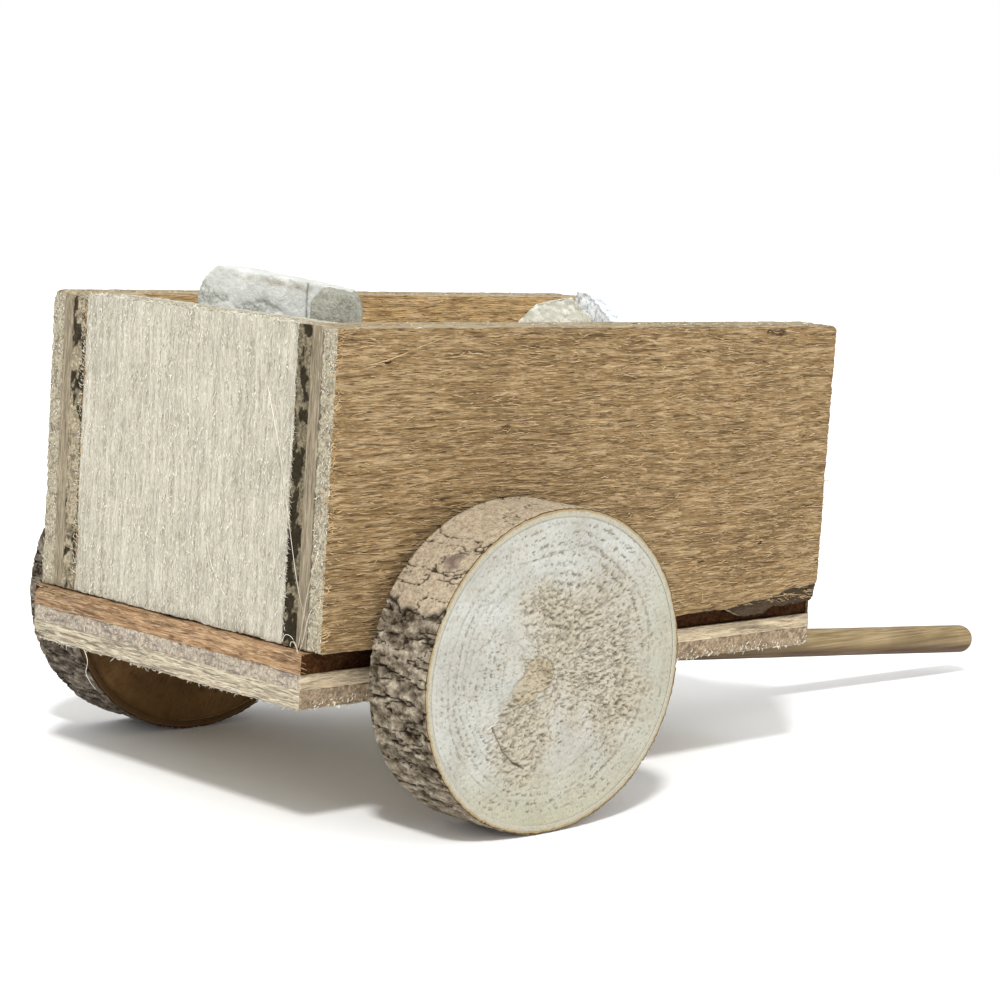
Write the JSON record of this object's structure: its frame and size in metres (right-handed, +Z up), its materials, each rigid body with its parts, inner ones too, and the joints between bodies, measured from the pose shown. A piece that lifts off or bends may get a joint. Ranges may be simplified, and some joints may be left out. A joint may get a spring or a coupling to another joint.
{
  "type": "mine cart",
  "caption": "Small two-wheeled plywood ore cart with branch-slice wheels on one axle, a round stick drawbar and a load of broken stone that lifts out.",
  "frame": {"origin": "under the middle of the whole cart, at the height of the wheels' lowest points", "axes": "+X towards the tip of the drawbar, +Y from the near side to the far side, +Z up, square to the box"},
  "size_m": [0.219, 0.0988, 0.0844],
  "materials": {
    "beech_face": "sawn, unfinished long grain",
    "core_veneer": "sawn, unfinished",
    "inner_face": "unfinished",
    "pale_face": "fuzzy sawn long grain",
    "base_top_face": "unfinished",
    "base_core": "end grain",
    "base_bottom_face": "fuzzy sawn",
    "wheel_wood": "sawn end grain",
    "bark": "rough bark",
    "axle_dowel": "smooth",
    "bamboo": "smooth",
    "glue": "hardened",
    "grey_stone": "broken",
    "pale_stone": "sawn and broken",
    "cream_stone": "broken",
    "streaked_stone": "broken"
  },
  "bodies": {
    "cart_box": {"base_top_ply": "base_top_face", "base_core_ply": "base_core", "base_bottom_ply": "base_bottom_face", "near_side_outer_ply": "beech_face", "near_side_core_ply": "core_veneer", "near_side_inner_ply": "inner_face", "far_side_outer_ply": "beech_face", "far_side_core_ply": "core_veneer", "far_side_inner_ply": "inner_face", "front_outer_ply": "pale_face", "front_core_ply": "core_veneer", "front_inner_ply": "pale_face", "rear_outer_ply": "pale_face", "rear_core_ply": "core_veneer", "rear_inner_ply": "pale_face", "drawbar": "bamboo", "drawbar_glue": "glue", "front_near_bed_stone": "grey_stone", "front_far_bed_stone": "pale_stone", "middle_near_bed_stone": "cream_stone", "middle_far_bed_stone": "grey_stone", "rear_near_bed_stone": "grey_stone", "rear_far_bed_stone": "cream_stone"},
    "wheelset": {"axle": "axle_dowel", "near_wheel_disc": "wheel_wood", "near_wheel_bark": "bark", "far_wheel_disc": "wheel_wood", "far_wheel_bark": "bark"},
    "pale_stone": {"pale_stone": "pale_stone"},
    "grey_stone": {"grey_stone": "grey_stone"},
    "cream_stone": {"cream_stone": "cream_stone"},
    "streaked_stone": {"streaked_stone": "streaked_stone"}
  },
  "joints": [
    {"name": "wheelset_roll", "type": "hinge", "parent": "cart_box", "child": "wheelset", "pos_m": [-0.071, 0, 0.02455], "axis": [0, 1, 0], "continuous": true},
    {"name": "pale_stone_lift", "type": "slide", "parent": "cart_box", "child": "pale_stone", "axis": [0, 0, 1], "range_m": [0, 0.04]},
    {"name": "grey_stone_lift", "type": "slide", "parent": "cart_box", "child": "grey_stone", "axis": [0, 0, 1], "range_m": [0, 0.04]},
    {"name": "cream_stone_lift", "type": "slide", "parent": "cart_box", "child": "cream_stone", "axis": [0, 0, 1], "range_m": [0, 0.04]},
    {"name": "streaked_stone_lift", "type": "slide", "parent": "cart_box", "child": "streaked_stone", "axis": [0, 0, 1], "range_m": [0, 0.04]}
  ]
}
